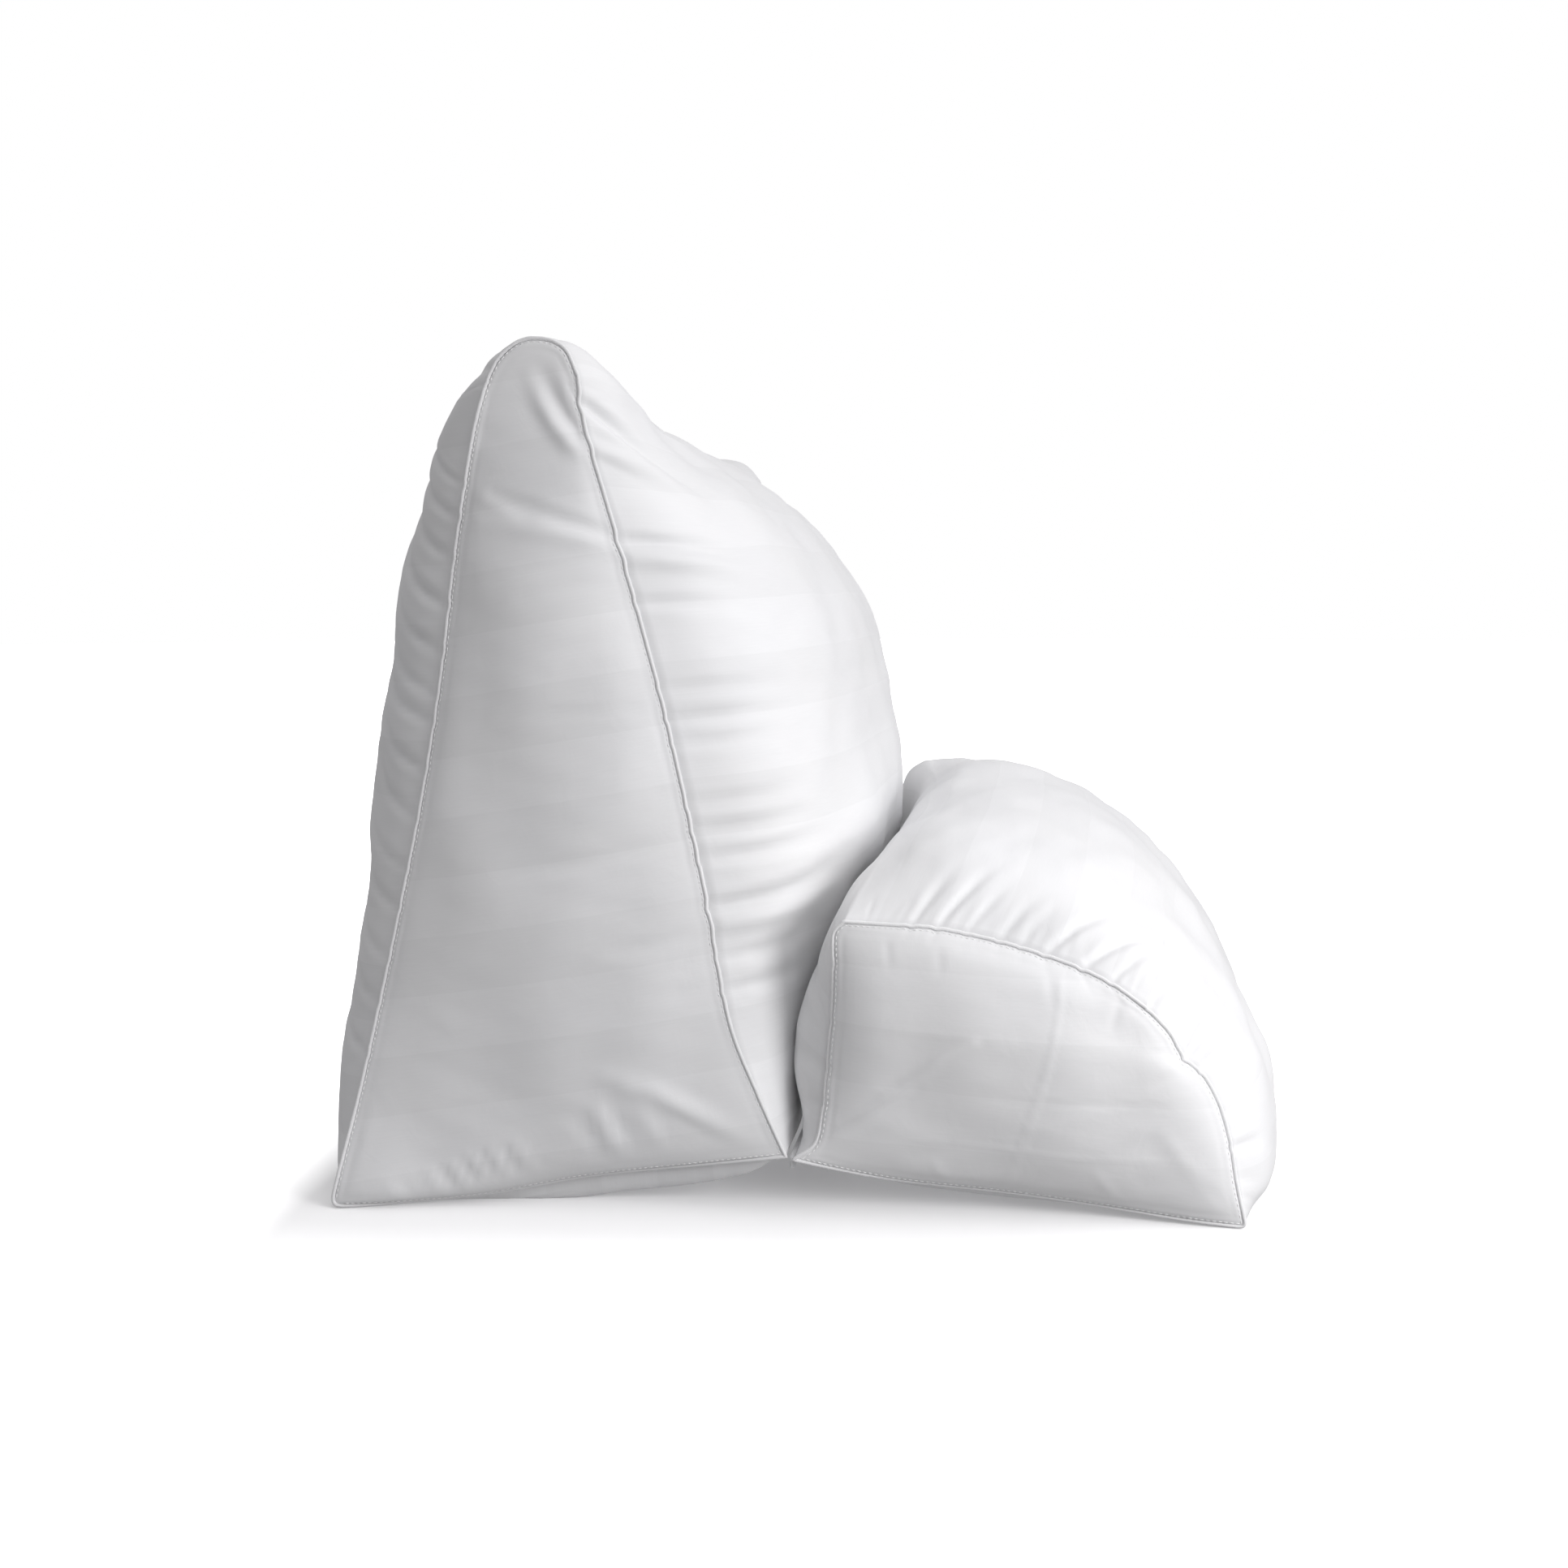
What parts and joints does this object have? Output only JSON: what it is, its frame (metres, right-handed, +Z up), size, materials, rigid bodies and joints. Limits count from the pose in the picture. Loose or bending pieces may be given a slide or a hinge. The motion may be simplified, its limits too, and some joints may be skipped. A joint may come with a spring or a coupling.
{
  "type": "reading back-rest pillow",
  "caption": "Filled back-rest pillow: a tall rounded wedge and a low quarter-round bolster sewn together along one bottom edge, with welted end panels.",
  "frame": {"origin": "middle of the footprint, on the surface the pillow stands on", "axes": "+Z up, +X from the wedge to the bolster, +Y along the length from the near end panels to the far ones"},
  "size_m": [0.643, 0.6448, 0.5356],
  "materials": {
    "cover_cloth": "white cotton sateen with woven stripes",
    "welt_cloth": "white cotton, stitched",
    "join_cloth": "white cotton, folded and stitched"
  },
  "bodies": {
    "root": {"wedge_cushion": "cover_cloth", "bolster_cushion": "cover_cloth", "wedge_welt_near": "welt_cloth", "wedge_welt_far": "welt_cloth", "bolster_welt_near": "welt_cloth", "bolster_welt_far": "welt_cloth", "joining_seam": "join_cloth"}
  },
  "joints": []
}
